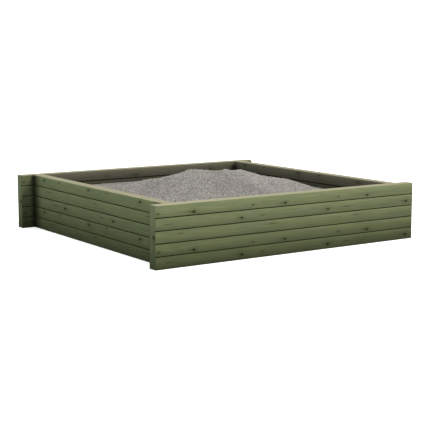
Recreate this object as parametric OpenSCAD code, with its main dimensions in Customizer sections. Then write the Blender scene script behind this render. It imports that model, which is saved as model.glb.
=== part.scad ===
// Square timber sandbox filled with sand.
// Four walls of stacked timbers, tied by hidden dowels and steel corner angles.
// The origin is at the middle of the footprint, on the ground. +Z is up and the front faces -Y.

/* [Walls] */
// Length of the front and rear walls
wall_length = 1200; // [1000:10:1500]
// Depth of the box from front face to rear face
box_depth = 1150; // [950:10:1500]
// How far the front and rear walls run past the side walls
overhang = 55; // [40:1:100]
// Number of timbers stacked in each wall
courses = 5; // [4:1:7]
// Thickness of a timber, outer face to inner face
timber_w = 45; // [38:1:58]
// Height of a timber
timber_h = 45; // [38:1:58]

/* [Timber edges] */
// Chamfer along the four long edges, which makes half of each groove
edge_chamfer = 2; // [1:0.5:3]
// Rise of the slightly rounded outer face
face_crown = 1; // [0.5:0.1:2]
// Chamfer on the upright corners of the front and rear walls
corner_chamfer = 2.5; // [1:0.5:3]

/* [Wall joints] */
// Thickness of the tongue on the ends of the side timbers
tongue_w = 24; // [16:1:28]
// Length of the tongue
tongue_l = 10; // [6:1:14]
// Height left solid above the top tongue, so that it doesn't show from above
tongue_stop = 10; // [5:1:20]
// Clearance of the tongue in its groove, on each side
tongue_gap = 0.3; // [0.1:0.1:0.5]
// Diameter of the dowels between the courses
dowel_d = 10; // [6:1:12]
// Length of the dowels
dowel_l = 32; // [20:1:36]
// Dowels between two timbers
dowels = 3; // [2:1:5]
// Distance of the end dowels from the corner of the sand space
dowel_margin = 90; // [70:5:150]
// Clearance of a dowel or pin in its hole, all round and at its end
bore_gap = 0.1; // [0.05:0.05:0.3]

/* [End battens] */
// Thickness of the upright batten let into each end of the front and rear walls
batten_t = 10; // [6:1:14]
// Width of the timber left on each side of the batten
batten_lip = 4; // [3.5:0.5:6]
// Diameter of the headless pins through the batten
pin_d = 2.8; // [2:0.1:4]
// Length of the pins
pin_l = 35; // [25:1:45]

/* [Corner angles] */
// Width of each leg of the steel angle
angle_leg = 32; // [28:1:45]
// Thickness of the steel
angle_t = 3; // [2:0.5:5]
// Screw length
screw_l = 32; // [25:1:38]
// Screw shank diameter
screw_d = 4.5; // [3.5:0.5:5]
// Screw head diameter
screw_head_d = 8.5; // [7:0.5:10]

/* [Sand] */
// Depth of the sand's edge below the top of the walls
freeboard = 60; // [50:5:70]
// Height of a full-size mound above the sand's edge
heap_rise = 65; // [40:5:80]
// Clearance of the sand from the walls
sand_gap = 0.3; // [0.2:0.1:1]
// Thickness of the ground sheet under the sand
sheet_t = 1; // [0.8:0.1:2]

/* [Hidden] */
box_h = courses * timber_h;
side_span = wall_length - 2 * overhang;
side_l = box_depth - 2 * timber_w;
inner_x = side_span - 2 * timber_w;
inner_y = side_l;

// Walls: name, turn about Z, length, distance between outer faces, whether it runs past the others
walls = [["front", 0, wall_length, box_depth, true],
         ["rear", 180, wall_length, box_depth, true],
         ["left", -90, side_l, side_span, false],
         ["right", 90, side_l, side_span, false]];

// Corners: name, side of the box in X and in Y
corners = [["front_left", -1, -1], ["front_right", 1, -1],
           ["rear_left", -1, 1], ["rear_right", 1, 1]];

// Radius of the rounded outer face
crown_r = (pow(timber_h / 2, 2) + pow(face_crown, 2)) / (2 * face_crown);
curve_fn = 240;
bore_fn = 32;
// How far a cutting shape runs past the face that it cuts
cut = 1;

// The angles join the courses that the sand covers with a little to spare
sand_edge_z = box_h - freeboard;
sand_cover = 15;
angle_courses = floor((sand_edge_z - sand_cover) / timber_h);
angle_lift = 6;
angle_h = angle_courses * timber_h - 2 * angle_lift;
screw_in = (angle_t + angle_leg) / 2;
head_h = (screw_head_d - screw_d) / 2;

// Sand: outline, corner notches over the angles, and grid
sand_x = inner_x - 2 * sand_gap;
sand_y = inner_y - 2 * sand_gap;
angle_clear = 4;
notch = angle_leg + angle_clear;
notch_top = angle_lift + angle_h + angle_clear;
slope_w = 4;
cells = 16;
// Width over which the mounds run out towards the walls
shore = 150;
// Mounds: height as a share of a full-size one, X and Y as shares of half the space, spread
mounds = [
    [1.00, -0.23, 0.09, 145],
    [1.00, -0.11, -0.32, 130],
    [0.85, 0.12, 0.40, 70],
    [0.90, 0.32, 0.08, 90],
    [0.60, 0.69, -0.07, 140],
    [0.30, -0.60, 0.28, 115]
];

timber_green = "#7b8460";
batten_green = "#6f7957";
dowel_beech = "#c9ab7c";
zinc = "#b4b7ba";
sheet_black = "#2c2d2e";
sand_grey = "#9c968d";

function turn(wall) = wall[1];
function length_of(wall) = wall[2];
function span(wall) = wall[3];
function is_long(wall) = wall[4];

// From a wall's start to the corner of the sand space
function corner_in(wall) = is_long(wall) ? overhang + timber_w : 0;

// Places along a wall of the dowels
function dowel_places(wall) =
    let (first = corner_in(wall) + dowel_margin, last = length_of(wall) - first)
    [for (i = [0:dowels - 1]) first + i * (last - first) / (dowels - 1)];

// The groove runs right through a timber, but stops under the top face of the top one
function groove_h(course) = course == courses ? tongue_h(course) + tongue_gap : timber_h + cut;

// The top timber's tongue stops short of its top face
function tongue_h(course) = course == courses ? timber_h - tongue_stop : timber_h;

// Stands what is drawn along +X, with its outer face at Y = 0, in a wall's place
module on_wall(wall) {
    rotate([0, 0, turn(wall)])
        translate([-length_of(wall) / 2, -span(wall) / 2, 0]) children();
}

// Cross-section of a timber: X runs from the outer to the inner face, Y is up
module timber_section() {
    c = edge_chamfer;
    intersection() {
        polygon([[face_crown + c, 0], [timber_w - c, 0], [timber_w, c],
                 [timber_w, timber_h - c], [timber_w - c, timber_h],
                 [face_crown + c, timber_h], [0, timber_h - c - face_crown],
                 [0, c + face_crown]]);
        translate([crown_r, timber_h / 2]) circle(r = crown_r, $fn = curve_fn);
    }
}

// Straight bar of that section along +X, long enough for a tongue at each end
module timber_bar(length) {
    translate([-tongue_l, 0, 0]) rotate([90, 0, 90])
        linear_extrude(length + 2 * tongue_l) timber_section();
}

// Plan of a front or rear timber, with eased upright corners
module long_plan() {
    c = corner_chamfer;
    polygon([[c, 0], [wall_length - c, 0], [wall_length, c],
             [wall_length, timber_w - c], [wall_length - c, timber_w],
             [c, timber_w], [0, timber_w - c], [0, c]]);
}

// Block that trims a front or rear timber to its ends
module long_block() {
    linear_extrude(timber_h) long_plan();
}

// Block that trims a side timber to its shoulders and tongues
module side_block(course) {
    cube([side_l, timber_w, timber_h]);
    translate([-tongue_l, (timber_w - tongue_w) / 2, 0])
        cube([side_l + 2 * tongue_l, tongue_w, tongue_h(course)]);
}

// Holes for the dowels above and below a timber
module dowel_holes(wall, course) {
    r = dowel_d / 2 + bore_gap;
    h = dowel_l / 2 + bore_gap;
    for (x = dowel_places(wall)) translate([x, timber_w / 2, 0]) {
        if (course > 1) translate([0, 0, -cut]) cylinder(h = h + cut, r = r, $fn = bore_fn);
        if (course < courses)
            translate([0, 0, timber_h - h]) cylinder(h = h + cut, r = r, $fn = bore_fn);
    }
}

// Pilot holes for the corner angle's screws
module pilot_holes(wall) {
    depth = screw_l - angle_t + bore_gap;
    first = corner_in(wall) + screw_in;
    for (x = [first, length_of(wall) - first])
        translate([x, timber_w - depth, timber_h / 2]) rotate([-90, 0, 0])
            cylinder(h = depth + cut, d = screw_d, $fn = bore_fn);
}

// Pockets for the end battens, grooves for the side tongues and holes for the pins
module long_cuts(course) {
    groove_w = tongue_w + 2 * tongue_gap;
    groove_x = overhang + (timber_w - groove_w) / 2;
    depth = tongue_l + tongue_gap;
    for (m = [0, 1]) translate([m * wall_length, 0, 0]) mirror([m, 0, 0]) {
        translate([-cut, batten_lip, -cut])
            cube([batten_t + cut, timber_w - 2 * batten_lip, timber_h + 2 * cut]);
        translate([groove_x, timber_w - depth, -cut])
            cube([groove_w, depth + cut, groove_h(course) + cut]);
        translate([0, timber_w / 2, timber_h / 2]) rotate([0, 90, 0])
            cylinder(h = pin_l + bore_gap, d = pin_d, $fn = bore_fn);
    }
}

// One timber of a wall, on its course
module timber(wall, course) {
    color(timber_green) on_wall(wall) translate([0, 0, (course - 1) * timber_h]) difference() {
        intersection() {
            timber_bar(length_of(wall));
            if (is_long(wall)) long_block();
            else side_block(course);
        }
        dowel_holes(wall, course);
        if (course <= angle_courses) pilot_holes(wall);
        if (is_long(wall)) long_cuts(course);
    }
}

// The dowels that stand between the courses of one wall
module wall_dowels(wall) {
    color(dowel_beech) on_wall(wall)
        for (k = [1:courses - 1], x = dowel_places(wall))
            translate([x, timber_w / 2, k * timber_h - dowel_l / 2])
                cylinder(h = dowel_l, d = dowel_d, $fn = bore_fn);
}

// Draws in a corner of the box, seen as the front left one
module in_corner(corner) {
    mirror([corner[1] > 0 ? 1 : 0, 0, 0]) mirror([0, corner[2] > 0 ? 1 : 0, 0])
        children();
}

// Moves to one end of the front wall, with its outer end face at X = 0
module at_wall_end() {
    translate([-wall_length / 2, -box_depth / 2, 0]) children();
}

// Upright batten that closes the ends of the five timbers
module end_batten(corner) {
    color(batten_green) in_corner(corner) at_wall_end() difference() {
        translate([0, batten_lip, 0])
            cube([batten_t, timber_w - 2 * batten_lip, box_h]);
        for (k = [1:courses])
            translate([-cut, timber_w / 2, (k - 0.5) * timber_h]) rotate([0, 90, 0])
                cylinder(h = batten_t + 2 * cut, d = pin_d, $fn = bore_fn);
    }
}

// Headless pins, one into each timber, with the end just under the batten's face
module end_batten_pins() {
    sunk = 0.5;
    color(zinc) for (c = corners) in_corner(c) at_wall_end()
        for (k = [1:courses])
            translate([sunk, timber_w / 2, (k - 0.5) * timber_h]) rotate([0, 90, 0])
                cylinder(h = pin_l - sunk, d = pin_d, $fn = bore_fn);
}

// Moves to a corner of the sand space, with the walls' inner faces at X = 0 and Y = 0
module at_inner_corner() {
    translate([-inner_x / 2, -inner_y / 2, 0]) children();
}

// Draws a screw's shape on both legs of an angle, at each course that it joins
module at_angle_screws() {
    for (k = [1:angle_courses]) translate([0, 0, (k - 0.5) * timber_h]) {
        translate([screw_in, 0, 0]) rotate([90, 0, 0]) children();
        translate([0, screw_in, 0]) rotate([0, -90, 0]) children();
    }
}

// Countersunk screw along +Z, from the steel's open face into the timber
module screw_shape(l) {
    translate([0, 0, -angle_t]) {
        cylinder(h = l, d = screw_d, $fn = bore_fn);
        cylinder(h = head_h, d1 = screw_head_d, d2 = screw_d, $fn = bore_fn);
    }
}

// Steel angle up the inside of a corner, drilled and countersunk
module corner_angle(corner) {
    color(zinc) in_corner(corner) at_inner_corner() difference() {
        translate([0, 0, angle_lift]) difference() {
            cube([angle_leg, angle_leg, angle_h]);
            translate([angle_t, angle_t, -cut])
                cube([angle_leg, angle_leg, angle_h + 2 * cut]);
        }
        at_angle_screws() screw_shape(angle_t + cut);
    }
}

// All the screws of the four angles
module angle_screws() {
    color(zinc) for (c = corners) in_corner(c) at_inner_corner()
        at_angle_screws() screw_shape(screw_l);
}

// Woven sheet laid on the ground inside the walls
module ground_sheet() {
    color(sheet_black) translate([-sand_x / 2, -sand_y / 2, 0])
        cube([sand_x, sand_y, sheet_t]);
}

// Grid lines across the sand: two close to each end for the corner notches, the rest even
function grid(span) = concat(
    [-span / 2, notch - span / 2, notch + slope_w - span / 2],
    [for (i = [1:cells - 1])
        (i / cells - 0.5) * (span - 2 * (notch + slope_w))],
    [span / 2 - notch - slope_w, span / 2 - notch, span / 2]);

function smooth(t) = let (u = min(max(t, 0), 1)) u * u * (3 - 2 * u);

// Rises from 0 at the walls to 1 over the width of the shore
function shore_fade(x, y) = smooth(min(sand_x / 2 - abs(x), sand_y / 2 - abs(y)) / shore);

function mound(m, x, y) =
    let (dx = x - m[1] * inner_x / 2, dy = y - m[2] * inner_y / 2)
    m[0] * exp(-(dx * dx + dy * dy) / (2 * m[3] * m[3]));

function heap(x, y) =
    let (each_mound = [for (m = mounds) mound(m, x, y)])
    each_mound * [for (m = mounds) 1];

function sand_top(x, y) = sand_edge_z + heap_rise * shore_fade(x, y) * heap(x, y);

// The underside lies on the sheet and steps up over the steel angles
function sand_under(x, y) =
    let (near_x = sand_x / 2 - abs(x) < notch + slope_w / 2,
         near_y = sand_y / 2 - abs(y) < notch + slope_w / 2)
    near_x && near_y ? notch_top : sheet_t;

// The sand as one closed solid: a grid of points on top, the same grid below, and a wall round them
module sand_fill() {
    xs = grid(sand_x);
    ys = grid(sand_y);
    nx = len(xs);
    ny = len(ys);
    count = nx * ny;
    points = concat(
        [for (y = ys, x = xs) [x, y, sand_top(x, y)]],
        [for (y = ys, x = xs) [x, y, sand_under(x, y)]]);
    quads = [for (j = [0:ny - 2], i = [0:nx - 2])
        let (a = j * nx + i) [a, a + 1, a + nx + 1, a + nx]];
    rim = concat(
        [for (i = [0:nx - 2]) i],
        [for (j = [0:ny - 2]) j * nx + nx - 1],
        [for (i = [nx - 1:-1:1]) (ny - 1) * nx + i],
        [for (j = [ny - 1:-1:1]) j * nx]);
    top = [for (q = quads) each [[q[2], q[1], q[0]], [q[3], q[2], q[0]]]];
    under = [for (q = quads) each [[q[0] + count, q[1] + count, q[2] + count],
                                   [q[0] + count, q[2] + count, q[3] + count]]];
    around = [for (i = [0:len(rim) - 1])
        let (a = rim[i], b = rim[(i + 1) % len(rim)])
        each [[a, b, b + count], [a, b + count, a + count]]];
    color(sand_grey) polyhedron(points, concat(top, under, around));
}

for (w = walls, k = [1:courses])
    timber(w, k);
for (w = walls)
    wall_dowels(w);
for (c = corners)
    end_batten(c);
for (c = corners)
    corner_angle(c);
end_batten_pins();
angle_screws();
ground_sheet();
sand_fill();
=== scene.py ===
import itertools
import math
import random

import bmesh
import bpy
import numpy as np
from bpy.props import FloatProperty, FloatVectorProperty, IntProperty, PointerProperty
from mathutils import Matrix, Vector, noise


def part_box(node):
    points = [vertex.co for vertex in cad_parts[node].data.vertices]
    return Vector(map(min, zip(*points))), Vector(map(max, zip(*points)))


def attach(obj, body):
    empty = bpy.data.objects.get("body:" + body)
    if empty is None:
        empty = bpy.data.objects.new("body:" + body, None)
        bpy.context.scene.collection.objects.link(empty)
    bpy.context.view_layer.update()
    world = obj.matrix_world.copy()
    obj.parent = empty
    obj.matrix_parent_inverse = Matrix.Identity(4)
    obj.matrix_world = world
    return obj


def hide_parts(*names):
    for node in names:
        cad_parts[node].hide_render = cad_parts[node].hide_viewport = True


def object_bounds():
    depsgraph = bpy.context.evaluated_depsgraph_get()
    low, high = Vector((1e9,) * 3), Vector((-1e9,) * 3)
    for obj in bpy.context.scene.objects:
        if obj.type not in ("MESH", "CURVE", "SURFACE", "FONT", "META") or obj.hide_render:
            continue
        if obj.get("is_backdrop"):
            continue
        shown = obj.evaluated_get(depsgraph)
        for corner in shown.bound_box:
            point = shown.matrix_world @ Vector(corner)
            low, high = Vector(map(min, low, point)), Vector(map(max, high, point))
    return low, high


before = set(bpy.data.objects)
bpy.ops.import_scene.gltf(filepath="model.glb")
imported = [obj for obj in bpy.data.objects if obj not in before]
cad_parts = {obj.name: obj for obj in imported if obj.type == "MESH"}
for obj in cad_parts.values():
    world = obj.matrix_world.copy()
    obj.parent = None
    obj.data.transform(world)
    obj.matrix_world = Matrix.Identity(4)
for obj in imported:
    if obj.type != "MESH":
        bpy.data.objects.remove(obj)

bl_info = {
    "name": "Timber sandbox",
    "version": (1, 0, 0),
    "blender": (4, 5, 0),
    "location": "View3D > Sidebar > Sandbox",
    "description": "Finishes a garden sandbox of stacked treated timbers, filled with sand",
    "category": "Object",
}

MM = 0.001
BODY = "root"
WHITE = (1.0, 1.0, 1.0, 1.0)
CAD_LOW, CAD_HIGH = (Vector(corner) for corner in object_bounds())
RIM_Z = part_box("front_timber_5")[1].z
SAND_SPACE = (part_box("right_timber_1")[0].x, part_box("rear_timber_1")[0].y)
# The edge inside each overhang, where the walls meet
NOOK = (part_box("right_timber_1")[1].x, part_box("rear_timber_1")[0].y)
CORNERS = ("front_left", "front_right", "rear_left", "rear_right")
COURSES = range(1, 6)
# Written as the distance to a groove where there is none
NO_GROOVE = 1.0

# Each wall: direction along it, direction from its outer to its inner face, the kind of
# figure in its timbers from the ground up, their tones from the ground up, how strongly
# painted shading lightens the top of each timber and darkens its foot, how its colour drifts
# from one end to the other, and how much further along its knots lie
WALLS = {
    "front": ((1, 0), (0, 1), "BACBA", (0.98, 0.98, 0.97, 0.93, 1.0), (0.31, -0.15, 0.0)),
    "rear": ((1, 0), (0, -1), "BACBA", (0.97, 0.99, 0.93, 1.01, 0.97), (0.14, 0.0, 0.0)),
    "left": ((0, 1), (1, 0), "CABCA", (0.93, 0.95, 0.94, 0.96, 1.0), (0.08, -0.04, 0.0)),
    "right": ((0, 1), (-1, 0), "BACCA", (0.95, 1.0, 0.93, 0.97, 0.95), (0.08, 0.0, 14 * MM)),
}
# Each kind of figure: how strong its big knots, small knots and bark streaks are, and how far
# along and up the first big knot lies in a long and in a side timber
FIGURES = {
    "A": ((1.0, 1.0, 0.0), ((156 * MM, 14 * MM), (167 * MM, 32 * MM))),
    "B": ((1.0, 0.0, 1.0), ((361 * MM, 20 * MM), (372 * MM, 25 * MM))),
    "C": ((0.0, 0.0, 1.0), ((10 * MM, 29 * MM), (22 * MM, 28 * MM))),
}


# ---------------------------------------------------------------- settings


def length_field(name, description, default):
    """A setting in metres."""
    return FloatProperty(name=name, description=description, default=default, unit="LENGTH")


def angle_field(name, description, degrees):
    """A setting in degrees."""
    turn = math.radians(degrees)
    return FloatProperty(name=name, description=description, default=turn, subtype="ANGLE")


def share_field(name, description, default):
    """A setting from none to all."""
    return FloatProperty(
        name=name, description=description, default=default, min=0.0, max=1.0, subtype="FACTOR"
    )


def colour_field(name, description, default):
    """A setting for a colour, in linear light."""
    return FloatVectorProperty(
        name=name, description=description, default=default, size=3, subtype="COLOR"
    )


class TimberSettings(bpy.types.PropertyGroup):
    """Sizes and colours of the timbers and end battens."""

    arris: length_field(
        "Arris radius", "Radius of the rounded long edges, which shape the grooves", 2.3 * MM
    )
    crown: length_field("Crown", "Rise of the rounded outer face", 1.0 * MM)
    corner: length_field(
        "Corner radius", "Radius of the upright corners at the ends of the long timbers", 2.5 * MM
    )
    knot_pitch: length_field(
        "Knot spacing", "Distance between the whorls of knots along a timber", 401 * MM
    )
    green: colour_field(
        "Treated green", "Colour of the pressure-treated wood", (0.230, 0.252, 0.131)
    )
    batten_green: colour_field(
        "Batten green", "Colour of the upright end battens", (0.212, 0.238, 0.132)
    )
    bleached: colour_field(
        "Bleached top", "Colour of the faces that look up to the weather", (0.250, 0.228, 0.150)
    )
    knot: colour_field("Knot", "Colour of the knots and bark streaks", (0.030, 0.036, 0.011))
    # Painted shade: the darker, browner colour of the faces inside the box
    inner_shade: colour_field(
        "Shaded inside", "Colour of the faces that the sand has stained", (0.150, 0.138, 0.099)
    )
    # Part dirt, part painted shade in the grooves between the timbers
    groove_dirt_and_shade: colour_field(
        "Grime", "Colour of the dirt in the grooves between the timbers", (0.020, 0.024, 0.001)
    )
    # Ground darkening: painted shade, darker towards the foot of the walls
    darkening: share_field("Ground damp", "How much the lowest timber is darkened by wet ground", 0.70)
    # Batten darkening: the same painted shade at the foot of the end battens
    batten_darkening: share_field(
        "Batten damp", "How much the foot of an end batten is darkened by wet ground", 0.58
    )


class SandSettings(bpy.types.PropertyGroup):
    """Shape, grain and colours of the sand."""

    spacing: length_field(
        "Mesh spacing", "Distance between the points of the sand's surface", 5 * MM
    )
    hollows: length_field("Hollows", "Height of the hand-sized bumps and hollows", 4 * MM)
    ripple: length_field("Ripple", "Height of the finest bumps", 0.9 * MM)
    grains: IntProperty(
        name="Grains",
        description="Loose grains for each square metre of surface",
        default=8400,
        min=100,
    )
    grain_size: length_field("Grain size", "Radius of a middling loose grain", 1.9 * MM)
    light: colour_field("Light grains", "Colour of the pale grains", (0.352, 0.323, 0.303))
    middle: colour_field("Middling grains", "Colour of most of the grains", (0.203, 0.186, 0.179))
    dark: colour_field("Dark grains", "Colour of the dark grains", (0.128, 0.119, 0.116))


class StageSettings(bpy.types.PropertyGroup):
    """Camera and studio light."""

    azimuth: angle_field("Azimuth", "Direction of the camera round the box, from the front", -33.87)
    elevation: angle_field("Elevation", "Height of the camera's view", 8.52)
    distance: length_field("Distance", "From the camera to the point that it looks at", 4.42)
    aim: FloatVectorProperty(
        name="Aim",
        description="Point that the camera looks at",
        default=(-0.0704, -0.1501, 0.0972),
        size=3,
        subtype="XYZ",
    )
    lens: FloatProperty(name="Lens", description="Focal length in millimetres", default=92.35)
    key: FloatProperty(name="Key light", description="Strength of the key light", default=2.1)
    key_azimuth: angle_field(
        "Key azimuth", "Direction of the key light round the box, from the front", 50
    )
    key_elevation: angle_field("Key elevation", "Height of the key light", 45)
    key_spread: angle_field(
        "Key spread", "Angle that the key light fills, which softens its shadows", 20
    )
    key_colour: colour_field("Key colour", "Colour of the key light", (1.085, 1.0, 0.99))
    sky_colour: colour_field("Sky colour", "Colour of the light from above", (0.925, 1.0, 0.965))
    sky: FloatProperty(name="Sky", description="Strength of the light from above", default=1.1)


# ------------------------------------------------------------ node helpers


class Nodes:
    """Adds nodes to a tree. An input's value is a number, a colour or another node's output."""

    def __init__(self, tree):
        self.tree = tree

    def add(self, kind, inputs=None, **settings):
        node = self.tree.nodes.new(kind)
        for key, value in settings.items():
            setattr(node, key, value)
        for key, value in (inputs or {}).items():
            self.feed(node.inputs[key], value)
        return node

    def feed(self, socket, value):
        if isinstance(value, bpy.types.NodeSocket):
            self.tree.links.new(value, socket)
        else:
            socket.default_value = value

    def math(self, operation, *values):
        return self.add("ShaderNodeMath", dict(enumerate(values)), operation=operation).outputs[0]

    def vector(self, operation, *values):
        kind = "ShaderNodeVectorMath"
        return self.add(kind, dict(enumerate(values)), operation=operation).outputs[0]

    def times(self, a, b):
        return self.math("MULTIPLY", a, b)

    def line(self, value, slope, start):
        return self.math("MULTIPLY_ADD", value, slope, start)

    def reach(self, vector):
        """Length of a vector."""
        return self.add("ShaderNodeVectorMath", {0: vector}, operation="LENGTH").outputs["Value"]

    def scaled(self, vector, scale):
        inputs = {0: vector, "Scale": scale}
        return self.add("ShaderNodeVectorMath", inputs, operation="SCALE").outputs[0]

    def split(self, value):
        return self.add("ShaderNodeSeparateXYZ", {0: value}).outputs

    def join(self, x, y, z):
        return self.add("ShaderNodeCombineXYZ", {0: x, 1: y, 2: z}).outputs[0]

    def step(self, value, low, high, out_low=0.0, out_high=1.0):
        """Smooth step of value from low to high."""
        inputs = {0: value, 1: low, 2: high, 3: out_low, 4: out_high}
        node = self.add("ShaderNodeMapRange", inputs, interpolation_type="SMOOTHSTEP")
        return node.outputs[0]

    def mix(self, factor, a, b, blend="MIX"):
        """Mix of two colours, which are the node's sockets 6 and 7."""
        inputs = {0: factor, 6: a, 7: b}
        return self.add("ShaderNodeMix", inputs, data_type="RGBA", blend_type=blend).outputs[2]

    def tinted(self, colour, factor):
        """A colour multiplied by another colour or a number."""
        return self.mix(1.0, colour, factor, "MULTIPLY")

    def place(self):
        """The point's place on the object."""
        return self.add("ShaderNodeTexCoord").outputs["Object"]

    def bump(self, height, strength, distance):
        inputs = {"Height": height, "Strength": strength, "Distance": distance}
        return self.add("ShaderNodeBump", inputs).outputs[0]

    def cells(self, vector, scale):
        return self.add("ShaderNodeTexVoronoi", {"Vector": vector, "Scale": scale}).outputs

    def noise(self, vector, scale, detail=2.0, roughness=0.5, distortion=0.0):
        inputs = {
            "Vector": vector,
            "Scale": scale,
            "Detail": detail,
            "Roughness": roughness,
            "Distortion": distortion,
        }
        return self.add("ShaderNodeTexNoise", inputs).outputs[0]

    def attribute(self, name, output="Vector"):
        return self.add("ShaderNodeAttribute", attribute_name=name).outputs[output]

    def group(self, tree, inputs):
        node = self.add("ShaderNodeGroup", node_tree=tree)
        for key, value in inputs.items():
            self.feed(node.inputs[key], value)
        return node.outputs


SOCKETS = {
    "float": "NodeSocketFloat",
    "vector": "NodeSocketVector",
    "colour": "NodeSocketColor",
    "geometry": "NodeSocketGeometry",
    "int": "NodeSocketInt",
    "material": "NodeSocketMaterial",
}


def new_group(name, kind, inputs, outputs):
    """An empty node group with named sockets: its nodes, what it is given and what it puts out."""
    tree = bpy.data.node_groups.new(name, kind)
    for socket, form in inputs.items():
        tree.interface.new_socket(name=socket, in_out="INPUT", socket_type=SOCKETS[form])
    for socket, form in outputs.items():
        tree.interface.new_socket(name=socket, in_out="OUTPUT", socket_type=SOCKETS[form])
    nodes = Nodes(tree)
    return nodes, nodes.add("NodeGroupInput").outputs, nodes.add("NodeGroupOutput").inputs


def new_material(name):
    """A material with an empty tree: (material, nodes)."""
    material = bpy.data.materials.new(name)
    material.use_nodes = True
    material.node_tree.nodes.clear()
    return material, Nodes(material.node_tree)


def finish_surface(nodes, constants, **linked):
    """Adds the Principled surface and the output. constants and linked go to its sockets."""
    surface = nodes.add("ShaderNodeBsdfPrincipled", constants)
    for socket, value in linked.items():
        nodes.feed(surface.inputs[socket.replace("_", " ")], value)
    nodes.add("ShaderNodeOutputMaterial", {"Surface": surface.outputs[0]})


# ------------------------------------------------------- shared effects


def knots_group():
    """Knots and bark streaks that come round at one spacing along a timber."""
    nodes, given, out = new_group(
        "sandbox_knots",
        "ShaderNodeTree",
        {
            "Grain": "vector",
            "Figure": "vector",
            "Knot height": "float",
            "Seed": "float",
            "Spacing": "float",
            "Growth": "float",
        },
        {"Core": "float", "Halo": "float", "Bend": "float"},
    )
    along, _, up = nodes.split(given["Grain"])
    big, small, streak = nodes.split(given["Figure"])
    ragged = nodes.vector("MULTIPLY", given["Grain"], (160.0, 160.0, 240.0))
    ragged = nodes.line(nodes.noise(ragged, 1.0), 0.9, -0.45)
    half = nodes.times(given["Spacing"], 0.5)
    back = nodes.times(given["Spacing"], -0.5)
    which = nodes.math("DIVIDE", nodes.math("ADD", along, half), given["Spacing"])
    which = nodes.join(nodes.math("FLOOR", which), given["Seed"], 0.0)
    chance = nodes.add("ShaderNodeTexWhiteNoise", {"Vector": which}).outputs[0]
    size = nodes.times(nodes.line(chance, 0.35, 0.8), given["Growth"])

    def spot(shift, rise, length, height, strength):
        """One elliptical mark, repeated at the spacing: its dark core, its halo, and how far the
        grain bends round it."""
        x = nodes.math("WRAP", nodes.math("SUBTRACT", along, shift), half, back)
        y = nodes.math("SUBTRACT", nodes.math("SUBTRACT", up, given["Knot height"]), rise)
        x = nodes.math("DIVIDE", x, nodes.times(size, length))
        y = nodes.math("DIVIDE", y, nodes.times(size, height))
        away = nodes.math("ADD", nodes.reach(nodes.join(x, y, 0.0)), ragged)
        core = nodes.times(nodes.step(away, 1.15, 0.45), strength)
        halo = nodes.times(nodes.step(away, 3.6, 0.8), strength)
        return core, halo, nodes.times(halo, y)

    # The big knot, the dark streak that trails from it, a small knot, a bark streak and a speck
    marks = [
        spot(0.0, 0.0, 10.0 * MM, 5.8 * MM, big),
        spot(-14 * MM, 1.5 * MM, 18 * MM, 2.2 * MM, nodes.times(big, 0.5)),
        spot(-146 * MM, 4 * MM, 6.5 * MM, 3.6 * MM, nodes.times(small, 0.8)),
        spot(91 * MM, 3 * MM, 20 * MM, 2.2 * MM, nodes.times(streak, 0.55)),
        spot(172 * MM, 15 * MM, 4 * MM, 2.0 * MM, nodes.times(small, 0.3)),
    ]
    core, halo, bend = marks[0]
    for one, ring, pull in marks[1:]:
        core = nodes.math("MAXIMUM", core, one)
        halo = nodes.math("MAXIMUM", halo, ring)
        bend = nodes.math("ADD", bend, pull)
    nodes.feed(out["Core"], core)
    nodes.feed(out["Halo"], halo)
    nodes.feed(out["Bend"], bend)
    return nodes.tree


def grain_group():
    """Softwood grain: fine streaks, growth rings and wide patches, each from 0 to 1."""
    nodes, given, out = new_group(
        "sandbox_grain",
        "ShaderNodeTree",
        {"Grain": "vector", "Seed": "float", "Bend": "float"},
        {"Streaks": "float", "Rings": "float", "Patches": "float"},
    )
    along, across, up = nodes.split(given["Grain"])
    up = nodes.line(given["Bend"], -2.5 * MM, up)
    start = nodes.line(given["Seed"], 7.31, along)
    wood = nodes.join(start, across, up)

    def drawn(lengthwise, crosswise):
        """The place in the wood, scaled by one number along the grain and another across it."""
        return nodes.vector("MULTIPLY", wood, (lengthwise, crosswise, crosswise))

    nodes.feed(out["Streaks"], nodes.noise(drawn(9.0, 420.0), 1.0, 3.0, 0.6))
    contour = nodes.times(nodes.noise(drawn(2.2, 38.0), 1.0, 1.0, 0.4, 0.3), 9.0)
    nodes.feed(out["Rings"], nodes.step(nodes.math("PINGPONG", contour, 0.5), 0.05, 0.5))
    patches = nodes.noise(drawn(6.0, 26.0), 1.0, 2.0, 0.5)
    nodes.feed(out["Patches"], nodes.step(patches, 0.3, 0.7))
    return nodes.tree


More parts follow.
